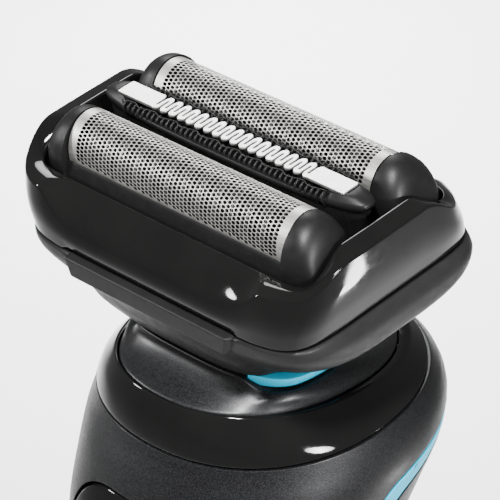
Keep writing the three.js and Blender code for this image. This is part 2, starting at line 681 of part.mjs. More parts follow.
function chassis() {
  const spine = block([-6.5, 11.8, 12], [6.5, 13, 113.4]);
  const behindBoard = block([-30, -8.4, 0], [30, 30, 200]);
  const foot = handleBody(12, 14, WALL + 0.6).intersect(behindBoard);
  const divider = handleBody(70.5, 72.5, WALL + 0.6).intersect(behindBoard);
  const head = block([-13, -3, 111], [13, 13, 113.4]);
  const holes = [-11, 11].map((x) => bar([x, 0, 10], [x, 0, 16], 1.05, 12));
  const upperHoles = [-7.6, 7.6].map((x) => bar([x, 7.2, 108], [x, 7.2, 116], 1.05, 12));
  const socketRoom = socketBlock(0.5, 10, 16);
  const leverRoom = block([-5.3, NECK_Y - 2.7, 108], [5.3, NECK_Y + 2.7, 116]);
  return cut(join(spine, foot, divider, head), ...holes, ...upperHoles, socketRoom, leverRoom);
}

function battery() {
  const { r, low, high, y } = BATTERY;
  const profile = [[0, low], [r - 0.5, low], [r, low + 0.5], [r, high - 0.5], [r - 0.5, high], [2.4, high]];
  profile.push([2.4, high + 0.8], [0, high + 0.8]);
  const geometry = new THREE.LatheGeometry(profile.map(([x, z]) => new THREE.Vector2(x, z)), 24);
  geometry.rotateX(Math.PI / 2);
  geometry.translate(0, y, 0);
  return solid(geometry);
}

const batteryTab = (z) => block([-4, BATTERY.y - 2, z], [4, BATTERY.y + 9.6, z + 0.4]);

function motor() {
  const { r, low, high, y } = MOTOR;
  const can = bar([0, y, low], [0, y, high], r, 28);
  const bearing = bar([0, y, high - 0.5], [0, y, high + 1.4], 3, 16);
  return cut(join(can, bearing), bar([0, y, high - 12], [0, y, high + 3], 1.2, 12));
}

function motorShaft() {
  const { r, offset, low, high } = CAM;
  const axle = bar([0, MOTOR.y, MOTOR.high - 11], [0, MOTOR.y, low + 0.5], 1, 12);
  return join(axle, bar([0, MOTOR.y + offset, low], [0, MOTOR.y + offset, high], r, 18));
}

// A rocker: its fork straddles the motor's cam and its ball works in the bridge's socket.
function driveLever() {
  const y = NECK_Y;
  const middle = CAM.fork + 0.55;
  const prongs = [-middle, middle].map((x) => block([x - 0.55, y - 1, 104.8], [x + 0.55, y + 1, 114.6]));
  const yoke = block([-middle - 0.55, y - 1, 113.4], [middle + 0.55, y + 1, 116]);
  const hub = bar([0, y - 2.3, LEVER_Z], [0, y + 2.3, LEVER_Z], 2.6);
  const arm = bar([0, y, LEVER_Z], [0, y, PIVOT_ROW.z], 0.85, 12);
  const body = join(hub, ...prongs, yoke, arm, ball([0, y, PIVOT_ROW.z], 1.15));
  return cut(body, bar([0, -4, LEVER_Z], [0, 12, LEVER_Z], 1.1, 12));
}

const leverPin = () => bar([0, -2.9, LEVER_Z], [0, 9.3, LEVER_Z], 0.95, 12);

const circuitBoard = () => block([-10, -10.4, 28], [10, -9.2, 104]);
const powerSwitch = () => bar([0, -10.7, BUTTON.z], [0, -11.9, BUTTON.z], 3, 16);
const statusLight = () => block([-1.6, -11.6, WINDOW.z - 1], [1.6, -10.7, WINDOW.z + 1]);

function ringSeal(z, height, inset, wall) {
  const at = handleSection(z);
  const ring = (shrink, low, high) =>
    loft([low, high].map((h) => ({ ...at, z: h, a: at.a - shrink, b: at.b - shrink })), 32);
  return cut(ring(inset, z, z + height), ring(inset + wall, z - 1, z + height + 1));
}

// ---------- assembly ----------
addPiece(head, "cassette_frame", MATERIAL.gloss, cassetteFrame());
addPiece(head, "head_base", MATERIAL.matte, headBase());
addPiece(head, "trimmer_comb", MATERIAL.satin, trimmerComb());
addPiece(head, "trimmer_blade", MATERIAL.blade, trimmerBlade());
addPiece(head, "trimmer_cutter", MATERIAL.steel, trimmerCutter());
addPiece(head, "drive_bridge", MATERIAL.inner, driveBridge());
for (const [side, where] of [[-1, "front"], [1, "rear"]]) {
  addPiece(head, `foil_${where}`, MATERIAL.steel, foil(side));
  addPiece(head, `foil_frame_${where}`, MATERIAL.satin, foilFrame(side));
  addPiece(head, `cutter_block_${where}`, MATERIAL.steel, cutterBlock(side));
  addPiece(head, `cutter_carrier_${where}`, MATERIAL.inner, cutterCarrier(side));
}
for (const [side, hand] of [[-1, "left"], [1, "right"]]) {
  addPiece(head, `foil_spring_front_${hand}`, MATERIAL.steel, coilSpring(side * 19.4, -FOIL.y, -17.8, -11.2));
  addPiece(head, `foil_spring_rear_${hand}`, MATERIAL.steel, coilSpring(side * 19.4, FOIL.y, -17.8, -11.2));
  addPiece(head, `trimmer_spring_${hand}`, MATERIAL.steel, coilSpring(side * 16.4, 0, -17.8, -7.2));
  addPiece(head, `cassette_latch_${hand}`, MATERIAL.satin, cassetteLatch(side));
  addPiece(head, `swivel_pin_${hand}`, MATERIAL.steel, swivelPin(side));
  addPiece(shaver, `side_strip_${hand}`, MATERIAL.accent, sideStrip(side));
  addPiece(shaver, `charge_pin_${hand}`, MATERIAL.brass, chargePin(side));
  addPiece(shaver, `cap_screw_${hand}`, MATERIAL.steel, screw(side * 11, 0, 0.6, 14));
  addPiece(shaver, `neck_screw_${hand}`, MATERIAL.steel, screw(side * 7.6, 7.2, 109.2, 10));
}
addPiece(shaver, "accent_ring", MATERIAL.accent, accentRing());
addPiece(shaver, "neck_collar", MATERIAL.metallic, neckCollar());
addPiece(shaver, "neck_core", MATERIAL.satin, neckCore());
addPiece(shaver, "neck_seal", MATERIAL.rubber, neckSeal());
addPiece(shaver, "shoulder_cover", MATERIAL.gloss, shoulderCover());
addPiece(shaver, "front_shell", MATERIAL.metallic, frontShell());
addPiece(shaver, "rear_shell", MATERIAL.metallic, rearShell());
addPiece(shaver, "front_panel", MATERIAL.gloss, frontPanel());
addPiece(shaver, "power_button", MATERIAL.gloss, powerButton());
addPiece(shaver, "indicator_window", MATERIAL.lens, indicatorWindow());
addPiece(shaver, "rear_grip", MATERIAL.rubber, rearGrip());
addPiece(shaver, "bottom_cap", MATERIAL.satin, bottomCap());
addPiece(shaver, "charging_socket", MATERIAL.satin, chargingSocket());
addPiece(shaver, "chassis", MATERIAL.inner, chassis());
addPiece(shaver, "battery", MATERIAL.cell, battery());
addPiece(shaver, "battery_tab_lower", MATERIAL.brass, batteryTab(BATTERY.low - 0.8));
addPiece(shaver, "battery_tab_upper", MATERIAL.brass, batteryTab(BATTERY.high + 1.1));
addPiece(shaver, "motor", MATERIAL.steel, motor());
addPiece(shaver, "motor_shaft", MATERIAL.steel, motorShaft());
addPiece(shaver, "drive_lever", MATERIAL.inner, driveLever());
addPiece(shaver, "lever_pin", MATERIAL.steel, leverPin());
addPiece(shaver, "circuit_board", MATERIAL.board, circuitBoard());
addPiece(shaver, "power_switch", MATERIAL.steel, powerSwitch());
addPiece(shaver, "status_light", MATERIAL.lens, statusLight());
addPiece(shaver, "bottom_seal", MATERIAL.rubber, ringSeal(8.5, 1.2, 2.4, 1.4));

export default shaver;
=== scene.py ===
"""The finished look of the electric shaver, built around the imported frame.

Metres in Blender; the helpers below work in millimetres and convert on the way out.
+Z runs up the handle, -Y is the front. The head has a frame of its own, tilted towards the front.
"""

import math

import bmesh
import bpy
import numpy as np
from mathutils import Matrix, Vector


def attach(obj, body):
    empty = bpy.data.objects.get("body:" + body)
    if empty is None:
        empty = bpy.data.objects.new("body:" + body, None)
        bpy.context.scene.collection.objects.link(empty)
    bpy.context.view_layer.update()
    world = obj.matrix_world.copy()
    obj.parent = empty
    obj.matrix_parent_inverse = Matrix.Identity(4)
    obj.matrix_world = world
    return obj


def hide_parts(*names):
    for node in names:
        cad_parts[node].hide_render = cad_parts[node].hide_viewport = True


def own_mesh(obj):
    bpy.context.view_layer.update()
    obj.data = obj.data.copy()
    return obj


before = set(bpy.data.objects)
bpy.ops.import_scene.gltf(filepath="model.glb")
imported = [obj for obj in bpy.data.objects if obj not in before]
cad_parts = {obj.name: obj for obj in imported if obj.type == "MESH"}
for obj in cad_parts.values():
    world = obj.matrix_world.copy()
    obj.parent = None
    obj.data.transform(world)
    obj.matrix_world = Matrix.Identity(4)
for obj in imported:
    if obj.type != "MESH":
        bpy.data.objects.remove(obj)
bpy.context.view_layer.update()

MM = 0.001

# ---------- dimensions, in millimetres ----------
# The origin and tilt of the head's own frame, and the cassette's lower edge in that frame.
HEAD_Y, HEAD_Z = 1.85, 159.6
TILT = math.radians(8.3)
SEAM = -13.3
# A foil's distance from the middle, half length, half width, rise, centre and lower edge.
FOIL_Y, FOIL_HALF, FOIL_R, FOIL_RZ, FOIL_Z, FOIL_FOOT = 7.2, 18.45, 3.78, 4.37, -3.97, -8.4
SHOULDER_TOP = 129.1
CAP_TOP = 8.0
# The gap between pieces that meet, and the thickness of the handle's wall.
GAP = 0.3
WALL = 1.8
# How far the front tools reach along Y: into the wall, and through it.
INTO_FRONT = (-40, -4)
THROUGH_FRONT = (-40, 0)
# The heights between which the grip's skin is built.
GRIP_LOW, GRIP_HIGH = 5, 120

# Cross-sections of the handle: height, half width, half depth, middle, squareness.
HANDLE = np.array(
    [
        (0, 15.8, 12.2, 0.3, 2.6),
        (1.2, 17.6, 13.9, 0.3, 2.6),
        (4, 18.5, 14.8, 0.3, 2.6),
        (12, 19.1, 15.5, 0.3, 2.6),
        (35, 19.3, 15.8, 0.3, 2.6),
        (60, 19.5, 16.2, 0, 2.5),
        (85, 20.3, 17.4, -0.3, 2.4),
        (98, 20.7, 18.4, 0.2, 2.35),
        (106.5, 21.1, 19.2, 1.4, 2.3),
        (113.5, 21.9, 20.5, 4.4, 2.25),
        (119, 22.4, 21.6, 7.1, 2.2),
        (123, 21.8, 21.7, 8.3, 2.15),
        (126, 20.4, 21.1, 8, 2.15),
        (SHOULDER_TOP, 17, 19, 6.8, 2.2),
    ]
)
# The side strip's front edge: height, distance behind the middle, width.
STRIP = np.array(
    [
        (8, 1.2, 2.2),
        (45, 1.2, 2.4),
        (85, 1.4, 2.6),
        (100, 2, 2.8),
        (109, 3.1, 2.8),
        (113.5, 4.5, 2.8),
        (115.7, 5.9, 2.8),
        (117.2, 8, 2.7),
        (118.1, 10.4, 2.5),
        (118.9, 13.3, 2.1),
        (119.6, 16, 1.6),
        (120.3, 19, 1.1),
        (120.9, 21.6, 0.6),
    ]
)
STRIP_TOP = 120.9


# ---------- maths ----------
def smooth(t):
    t = np.clip(t, 0, 1)
    return t * t * (3 - 2 * t)


def spline(x, xs, ys):
    """A smooth curve through points that never overshoots between them."""
    xs, ys = np.asarray(xs, float), np.asarray(ys, float)
    h, d = np.diff(xs), np.diff(ys) / np.diff(xs)
    m = np.zeros(len(xs))
    m[0], m[-1] = d[0], d[-1]
    same = d[:-1] * d[1:] > 0
    w1, w2 = 2 * h[1:] + h[:-1], h[1:] + 2 * h[:-1]
    safe = np.where(same, d[:-1] * d[1:], 1)
    m[1:-1] = np.where(same, (w1 + w2) * safe / (w1 * d[1:] + w2 * d[:-1] + 1e-12), 0)
    k = np.clip(np.searchsorted(xs, x) - 1, 0, len(xs) - 2)
    t = (x - xs[k]) / h[k]
    a, b = ys[k], ys[k + 1]
    return (
        a * (1 + 2 * t) * (1 - t) ** 2
        + h[k] * m[k] * t * (1 - t) ** 2
        + b * t * t * (3 - 2 * t)
        + h[k] * m[k + 1] * t * t * (t - 1)
    )


def turns(count):
    return np.arange(count) * 2 * np.pi / count


def oval(angle, a, b, y=0.0, n=2.0, rear=None):
    """Points between an ellipse and a rounded rectangle, one for each direction in angle.

    n is the squareness in front, and behind too unless rear is given.
    """
    c, s = np.cos(angle), np.sin(angle)
    power = np.where(s > 0, n if rear is None else rear, n)
    r = (np.abs(c) ** power + np.abs(s) ** power) ** (-1 / power)
    return a * r * c, y + b * r * s


def ring(angle, z, a, b, y=0.0, n=2.0, rear=None):
    px, py = oval(angle, a, b, y, n, rear)
    return np.stack([px, py, np.broadcast_to(z, px.shape)], -1)


def rounded(corners, radii, steps):
    """Rounds each corner of closed outlines. corners is (stations, corners, 3)."""
    radii = np.broadcast_to(np.asarray(radii, float), corners.shape[:2])[..., None]
    back = np.roll(corners, 1, axis=1) - corners
    ahead = np.roll(corners, -1, axis=1) - corners

    def reach(v):
        length = np.linalg.norm(v, axis=-1, keepdims=True) + 1e-9
        return v / length * np.minimum(radii, 0.46 * length)

    p, q = corners + reach(back), corners + reach(ahead)
    parts = []
    for t in np.linspace(0, 1, steps):
        parts.append((1 - t) ** 2 * p + 2 * t * (1 - t) * corners + t * t * q)
    out = np.stack(parts, axis=2)
    return out.reshape(corners.shape[0], -1, 3)


def to_row(p):
    """Points of the head's frame in the frame of the whole shaver."""
    c, s = math.cos(TILT), math.sin(TILT)
    return np.stack(
        [p[..., 0], HEAD_Y + p[..., 1] * c - p[..., 2] * s, HEAD_Z + p[..., 1] * s + p[..., 2] * c], -1
    )


def section(z, inset):
    """The handle's half width, half depth, middle and squareness at heights z."""
    a, b, y, n = (spline(z, HANDLE[:, 0], HANDLE[:, k]) for k in (1, 2, 3, 4))
    return a - inset, b - inset, y, n


# ---------- meshes ----------
class Build:
    """Collects vertices and faces in millimetres."""

    def __init__(self):
        self.verts, self.faces, self.count = [], [], 0

    def add(self, verts, faces):
        verts = np.asarray(verts, float).reshape(-1, 3)
        self.verts.append(verts)
        self.faces += [[i + self.count for i in f] for f in faces]
        self.count += len(verts)
        return self

    def grid(self, points, close_rows=True, caps=False):
        """A sheet of quads over points (rows, columns, 3), closed along its columns."""
        rows, cols = points.shape[:2]
        faces = []
        for r in range(rows if close_rows else rows - 1):
            for c in range(cols):
                r2, c2 = (r + 1) % rows, (c + 1) % cols
                faces.append((r * cols + c, r * cols + c2, r2 * cols + c2, r2 * cols + c))
        if caps:
            faces.append(tuple(range(cols)))
            faces.append(tuple((rows - 1) * cols + c for c in range(cols)))
        return self.add(points, faces)

    def prism(self, outline, low, high, bevel, axis=2):
        """A flat outline with eased edges, pushed along an axis from low to high."""
        first_cut = bevel * 0.3
        outline = np.asarray(outline, float)
        following = np.roll(outline, -1, 0)
        along = following - np.roll(outline, 1, 0)
        along /= np.linalg.norm(along, axis=1, keepdims=True) + 1e-9
        area = np.sum(outline[:, 0] * following[:, 1] - outline[:, 1] * following[:, 0])
        inward = np.stack([-along[:, 1], along[:, 0]], -1) * np.sign(area)
        rows = []
        for inset, level in (
            (bevel, low),
            (first_cut, low + first_cut),
            (0, low + bevel),
            (0, high - bevel),
            (first_cut, high - first_cut),
            (bevel, high),
        ):
            flat = outline + inward * inset
            row = np.zeros((len(outline), 3))
            row[:, [k for k in range(3) if k != axis]] = flat
            row[:, axis] = level
            rows.append(row)
        return self.grid(np.array(rows), close_rows=False, caps=True)

    def object(self, name, head=False):
        v = np.concatenate(self.verts)
        if head:
            v = to_row(v)
        mesh = bpy.data.meshes.new(name)
        mesh.from_pydata((v * MM).tolist(), [], self.faces)
        bm = bmesh.new()
        bm.from_mesh(mesh)
        bmesh.ops.remove_doubles(bm, verts=bm.verts, dist=0.002 * MM)
        bmesh.ops.recalc_face_normals(bm, faces=bm.faces)
        bm.to_mesh(mesh)
        bm.free()
        obj = bpy.data.objects.new(name, mesh)
        bpy.context.scene.collection.objects.link(obj)
        return obj


def apply_modifiers(obj):
    graph = bpy.context.evaluated_depsgraph_get()
    mesh = bpy.data.meshes.new_from_object(obj.evaluated_get(graph))
    obj.modifiers.clear()
    old = obj.data
    obj.data = mesh
    bpy.data.meshes.remove(old)


def boolean(obj, tool, operation):
    mod = obj.modifiers.new("cut", "BOOLEAN")
    mod.operation = operation
    mod.solver = "EXACT"
    mod.object = tool
    apply_modifiers(obj)


def combine(obj, cutters=(), keep=()):
    """Keeps only what lies inside every keep, then takes the cutters away."""
    for tool in keep:
        boolean(obj, tool, "INTERSECT")
    for tool in cutters:
        boolean(obj, tool, "DIFFERENCE")


def discard(*objs):
    for o in objs:
        bpy.data.objects.remove(o)


def soften(obj, width=0.12, segments=2):
    """Cleans up after cuts and rounds the cut edges. The width is in millimetres."""
    weld, sharp = 0.03, 40
    bm = bmesh.new()
    bm.from_mesh(obj.data)
    bmesh.ops.remove_doubles(bm, verts=bm.verts, dist=weld * MM)
    bmesh.ops.dissolve_degenerate(bm, edges=bm.edges, dist=weld * MM / 2)
    bm.to_mesh(obj.data)
    bm.free()
    mod = obj.modifiers.new("bevel", "BEVEL")
    mod.width = width * MM
    mod.segments = segments
    mod.limit_method = "ANGLE"
    mod.angle_limit = math.radians(sharp)
    mod.use_clamp_overlap = False
    apply_modifiers(obj)


def finish_piece(obj, body, material, nodes, sharp=38, weighted=True):
    """Shades a piece, gives it its material and hangs it on its body."""
    mesh = obj.data
    mesh.materials.clear()
    mesh.materials.append(material)
    mesh.polygons.foreach_set("use_smooth", [True] * len(mesh.polygons))
    mesh.set_sharp_from_angle(angle=math.radians(sharp))
    if weighted:
        mod = obj.modifiers.new("normals", "WEIGHTED_NORMAL")
        mod.keep_sharp = True
    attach(obj, body)
    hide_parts(*nodes)


# ---------- materials ----------
class Nodes:
    """A short way to write node trees."""

    def __init__(self, name):
        self.material = bpy.data.materials.new(name)
        self.material.use_nodes = True
        self.tree = self.material.node_tree
        self.shader = next(n for n in self.tree.nodes if n.type == "BSDF_PRINCIPLED")
        self.coords = self.add("ShaderNodeTexCoord").outputs["Object"]

    def add(self, kind, **inputs):
        node = self.tree.nodes.new(kind)
        for key, value in inputs.items():
            node.inputs[key.replace("_", " ")].default_value = value
        return node

    def link(self, a, b):
        self.tree.links.new(a, b)

    def noise(self, scale, detail, rough=0.55, stretch=None):
        node = self.add("ShaderNodeTexNoise", Scale=scale, Detail=detail, Roughness=rough)
        source = self.coords
        if stretch:
            mapping = self.add("ShaderNodeMapping")
            mapping.inputs["Scale"].default_value = stretch
            self.link(source, mapping.inputs["Vector"])
            source = mapping.outputs["Vector"]
        self.link(source, node.inputs["Vector"])
        return node.outputs["Fac"]

    def spread(self, value, low, high, start=0.3, end=0.7):
        node = self.add("ShaderNodeMapRange")
        self.link(value, node.inputs["Value"])
        for key, v in (("From Min", start), ("From Max", end), ("To Min", low), ("To Max", high)):
            node.inputs[key].default_value = v
        return node.outputs["Result"]

    def mix(self, value, first, second):
        node = self.tree.nodes.new("ShaderNodeMix")
        node.data_type = "RGBA"
        # A mix node has a socket of each name for each data type; these are the colour ones.
        colour_a, colour_b, colour_out = 6, 7, 2
        self.link(value, node.inputs["Factor"])
        node.inputs[colour_a].default_value = (*first, 1)
        node.inputs[colour_b].default_value = (*second, 1)
        return node.outputs[colour_out]

    def bump(self, height, strength, distance, below=None):
        node = self.add("ShaderNodeBump", Strength=strength, Distance=distance)
        self.link(height, node.inputs["Height"])
        if below is not None:
            self.link(below, node.inputs["Normal"])
        return node.outputs["Normal"]

    def set(self, key, value):
        self.shader.inputs[key].default_value = value


def moulded(name, dark, light, rough, grain, depth, coat=0.0):
    """Plastic, rubber or lacquer: mottled colour, uneven gloss and a fine grain."""
    scale = 900.0
    m = Nodes(name)
    m.set("Specular IOR Level", 0.22)
    if coat:
        m.set("Coat Weight", coat)
        m.set("Coat Roughness", 0.05)
    m.link(m.mix(m.noise(scale * 0.12, 4), dark, light), m.shader.inputs["Base Color"])
    m.link(m.spread(m.noise(scale, 4), *rough), m.shader.inputs["Roughness"])
    broad = m.bump(m.noise(scale * 0.2, 2), 0.25, depth * 1.5e-4)
    m.link(m.bump(m.noise(grain, 3, 0.6), depth, 3e-5, broad), m.shader.inputs["Normal"])
    return m.material


def flaked(name, dark, light, rough):
    """Metallic lacquer with fine flakes that catch the light."""
    m = Nodes(name)
    m.set("Metallic", 0.55)
    m.set("Coat Weight", 0.12)
    m.set("Coat Roughness", 0.25)
    flakes = m.add("ShaderNodeTexVoronoi", Scale=6500.0)
    m.link(m.coords, flakes.inputs["Vector"])
    shade = m.spread(flakes.outputs["Distance"], 0, 1, 0.1, 0.6)
    m.link(m.mix(shade, light, dark), m.shader.inputs["Base Color"])
    m.link(m.spread(m.noise(2600, 2), *rough), m.shader.inputs["Roughness"])
    m.link(m.bump(flakes.outputs["Distance"], 0.35, 2.5e-5), m.shader.inputs["Normal"])
    return m.material


def steel(name, dark, light, rough, stretch, scale):
    """Machined or etched metal with fine marks along one direction."""
    m = Nodes(name)
    m.set("Metallic", 1.0)
    marks = m.noise(scale, 5, 0.6, stretch)
    m.link(m.mix(marks, dark, light), m.shader.inputs["Base Color"])
    m.link(m.spread(marks, *rough), m.shader.inputs["Roughness"])
    m.link(m.bump(marks, 0.15, 1.2e-5), m.shader.inputs["Normal"])
    return m.material


GLOSS = moulded("gloss_black", (0.003, 0.003, 0.003), (0.0065, 0.0064, 0.0062), (0.04, 0.08), 700, 0.02)
SATIN = moulded("satin_black", (0.003, 0.003, 0.003), (0.007, 0.007, 0.007), (0.38, 0.5), 5200, 0.35)
MATTE = moulded("matte_black", (0.005, 0.005, 0.005), (0.013, 0.013, 0.013), (0.4, 0.5), 4200, 0.8)
METALLIC = flaked("metallic_grey", (0.003, 0.0031, 0.0035), (0.022, 0.0228, 0.025), (0.4, 0.5))
ACCENT = moulded("accent_blue", (0.0, 0.38, 0.58), (0.002, 0.44, 0.66), (0.34, 0.44), 2600, 0.08)
FOIL = steel("foil_steel", (0.5, 0.49, 0.47), (0.68, 0.67, 0.65), (0.42, 0.54), (1, 6, 6), 700)
BLADE = steel("blade_steel", (0.68, 0.675, 0.665), (0.82, 0.815, 0.81), (0.36, 0.48), (1, 9, 3), 800)
# Cutter steel made far darker than STEEL: painted shade for the cutters under the foils and the trimmer's
# moving bar under the comb.
LAMELLA_PAINTED_SHADE = steel("lamella_steel_painted_shade", (0.06, 0.058, 0.056), (0.14, 0.137, 0.133), (0.3, 0.45), (8, 1, 1), 800)
STEEL = steel("steel", (0.42, 0.42, 0.42), (0.62, 0.62, 0.62), (0.22, 0.36), (1, 1, 6), 900)
BRASS = steel("brass", (0.62, 0.42, 0.16), (0.82, 0.6, 0.3), (0.2, 0.34), (1, 1, 5), 900)
RUBBER = moulded("rubber_black", (0.009, 0.009, 0.0095), (0.017, 0.017, 0.018), (0.6, 0.78), 3000, 0.8)
BOARD = moulded("board_green", (0.006, 0.07, 0.03), (0.012, 0.12, 0.05), (0.3, 0.5), 1800, 0.3)
CELL = moulded("cell_wrap", (0.01, 0.06, 0.22), (0.02, 0.1, 0.32), (0.2, 0.34), 900, 0.2, coat=0.3)
LENS = moulded("lens", (0.2, 0.25, 0.28), (0.32, 0.37, 0.4), (0.08, 0.16), 900, 0.05, coat=0.5)
WHITE = moulded("moulded_white", (0.62, 0.62, 0.6), (0.76, 0.76, 0.73), (0.4, 0.55), 2400, 0.3)

# The pieces inside keep their solids' shapes and only get a material.
NODE_MATERIALS = {
    "cutter_carrier_front": WHITE,
    "cutter_carrier_rear": WHITE,
    # The trimmer's moving bar takes the darkened cutter steel, painted shade under the comb.
    "trimmer_cutter": LAMELLA_PAINTED_SHADE,
    "drive_bridge": WHITE,
    "cassette_latch_left": SATIN,
    "cassette_latch_right": SATIN,
    "swivel_pin_left": STEEL,
    "swivel_pin_right": STEEL,
    "neck_core": SATIN,
    "neck_seal": RUBBER,
    "bottom_seal": RUBBER,
    "charging_socket": SATIN,
    "charge_pin_left": BRASS,
    "charge_pin_right": BRASS,
    "cap_screw_left": STEEL,
    "cap_screw_right": STEEL,
    "neck_screw_left": STEEL,
    "neck_screw_right": STEEL,
    "chassis": WHITE,
    "battery": CELL,
    "battery_tab_lower": BRASS,
    "battery_tab_upper": BRASS,
    "motor": STEEL,
    "motor_shaft": STEEL,
    "drive_lever": WHITE,
    "lever_pin": STEEL,
    "circuit_board": BOARD,
    "power_switch": STEEL,
    "status_light": LENS,
}
for node_name, node_material in NODE_MATERIALS.items():
    node_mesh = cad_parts[node_name].data
    node_mesh.materials.clear()
    node_mesh.materials.append(node_material)


# ---------- head: cassette ----------
def cassette():
    """The gloss frame: a wall that swells upwards, with a rim that dips in front and behind."""
    angle = turns(320)
    end_height, front_fall, rear_fall, middle_fall = -2.8, 3.2, 4.8, 3.4

    def rim_z(x, y):
        side = np.where(y > 0, smooth((np.abs(y) - 5) / 9), smooth((np.abs(y) - 7.4) / 7.6))
        dip = side * (1 - np.clip((np.abs(x) - 9) / 9.6, 0, 1) ** 3)
        return end_height - np.where(y > 0, rear_fall, front_fall) * side - middle_fall * dip

    low = ring(angle, SEAM, 23.9, 17.2, 0.2, 7)
    waist = ring(angle, 0, 25.35, 17.3, 0.1, 6.2, 5)
    rim = ring(angle, 0, 26, 16.8, 0, 5.2, 4)
    lip = ring(angle, 0, 23.2, 12.6, 0, 14)
    inner = ring(angle, SEAM, 23.2, 13.4, 0, 14)
    slot_half, slot_ease, slot_lift = 14.9, 0.6, 0.55
    low[:, 2] += slot_lift * smooth((slot_half - np.abs(low[:, 0])) / slot_ease) * (low[:, 1] < 0)
    rim[:, 2] = rim_z(rim[:, 0], rim[:, 1])
    waist[:, 2] = rim[:, 2] * 0.45 + SEAM * 0.55
    lip[:, 2] = -2.3 - 3.5 * smooth((np.abs(lip[:, 1]) - np.where(lip[:, 1] > 0, 4.5, 6)) / 6.4)
    face = (rim + lip) / 2
    face[:, 2] += 0.35 * smooth((np.abs(rim[:, 1]) - 9) / 6)
    corners = np.stack([low, waist, rim, face, lip, inner], 1)
    front = smooth((np.abs(rim[:, 1]) - 14) / 2.4) * smooth((19 - np.abs(rim[:, 0])) / 4)
    radii = np.zeros((len(angle), 6))
    radii[:] = (0.25, 3.0, 0.45, 1.6, 0.45, 0.3)
    radii[:, 2] += 0.9 * front
    obj = Build().grid(rounded(corners, radii, 7)).object("cassette_shell", head=True)
    finish_piece(obj, "cassette", GLOSS, ["cassette_frame"], sharp=60)


def base():
    """The matte bowl under the cassette, with the rinse slot and its lip in front."""
    angle = turns(280)
    outer = [
        (-23.6, 15.2, 8.9, -1.9, 3.4, 3.4),
        (-21.5, 19.8, 12.6, -0.5, 3.4, 3.4),
        (-19.4, 23.4, 15.9, 0.9, 3.6, 4),
        (-17.8, 24.6, 17.1, 1, 4.2, 5),
        (-15.6, 24.7, 17.6, 0.6, 6, 6.5),
        (SEAM - GAP, 24.1, 17.3, 0.2, 7, 7),
    ]
    heights = [s[0] for s in outer]
    fine = [-23.6, -22.6, -21.5, -20.4, -19.4, -18.6, -17.8, -16.8, -15.6, -14.6, SEAM - GAP]
    chin_top, floor, slot_drop = -17.5, -18.0, 0.7
    rows = []
    for z in fine:
        a, b, y, n, rear = (float(spline(z, heights, [s[k] for s in outer])) for k in range(1, 6))
        row = ring(angle, z, a, b, y, n, rear)
        chin = smooth((chin_top - z) / 3) * smooth((15 - np.abs(row[:, 0])) / 3) * smooth(-row[:, 1] / 6)
        row[:, 1] -= 0.42 * max(0, chin_top - z) * chin
        rows.append(row)
    inside, neck_hole = (22.3, 14.2, 0, 5), (12.4, 7.1, -2.35, 4)
    behind = smooth((14.6 - np.abs(rows[-1][:, 0])) / 0.6) * (rows[-1][:, 1] < 0)
    rows[-1][:, 2] -= slot_drop * behind
    rows.append(ring(angle, SEAM - GAP, *inside))
    rows[-1][:, 2] -= slot_drop * behind
    rows.append(ring(angle, floor, *inside))
    rows.append(ring(angle, floor, *neck_hole))
    rows.append(ring(angle, fine[0], *neck_hole))
    radii = [0.4] + [2.0] * (len(fine) - 2) + [0.3, 0.2, 0.3, 0.3, 0.3]
    build = Build().grid(rounded(np.stack(rows, 1), radii, 3))
    lip = []
    back, root, face = -15.4, -16.1, -17.8
    for t in np.concatenate([np.linspace(-1, -0.94, 7), np.linspace(-0.9, 0.9, 13), np.linspace(0.94, 1, 7)]):
        ease = 1 - smooth((abs(t) - 0.94) / 0.06) ** 2 * 0.75
        top, bottom = 14.55 * t, 13.85 * t
        shrink = 0.5 * (1 - ease)
        front = root + (face - root) * ease
        lip.append(
            [
                (top, back, -13.62 - shrink),
                (top, front, -13.62 - shrink),
                (bottom, front, -16.25 + shrink),
                (bottom, back, -16.6 + shrink),
            ]
        )
    lip = rounded(np.array(lip), (0.05, 0.3, 0.3, 0.05), 5)
    build.grid(lip, close_rows=False, caps=True)
    obj = build.object("base_bowl", head=True)
    finish_piece(obj, "swivel_head", MATTE, ["head_base"], sharp=50)


# ---------- head: foils ----------
def arch_curve():
    """The foil's section with its legs, as y, z and the distance along it from the crown."""
    t = np.linspace(0, np.pi, 400)
    y, z = FOIL_R * np.cos(t), FOIL_Z + FOIL_RZ * np.sin(t)
    y = np.concatenate([[FOIL_R], y, [-FOIL_R]])
    z = np.concatenate([[FOIL_FOOT], z, [FOIL_FOOT]])
    s = np.concatenate([[0], np.cumsum(np.hypot(np.diff(y), np.diff(z)))])
    return y, z, s - s[-1] / 2


def clip(poly, axis, limit, sign):
    """The part of a flat polygon on one side of a limit along an axis."""
    out = []
    for p, q in zip(poly, poly[1:] + poly[:1]):
        inside_p, inside_q = sign * (limit - p[axis]) >= 0, sign * (limit - q[axis]) >= 0
        if inside_p:
            out.append(p)
        if inside_p != inside_q:
            t = (limit - p[axis]) / (q[axis] - p[axis])
            out.append((p[0] + t * (q[0] - p[0]), p[1] + t * (q[1] - p[1])))
    return out


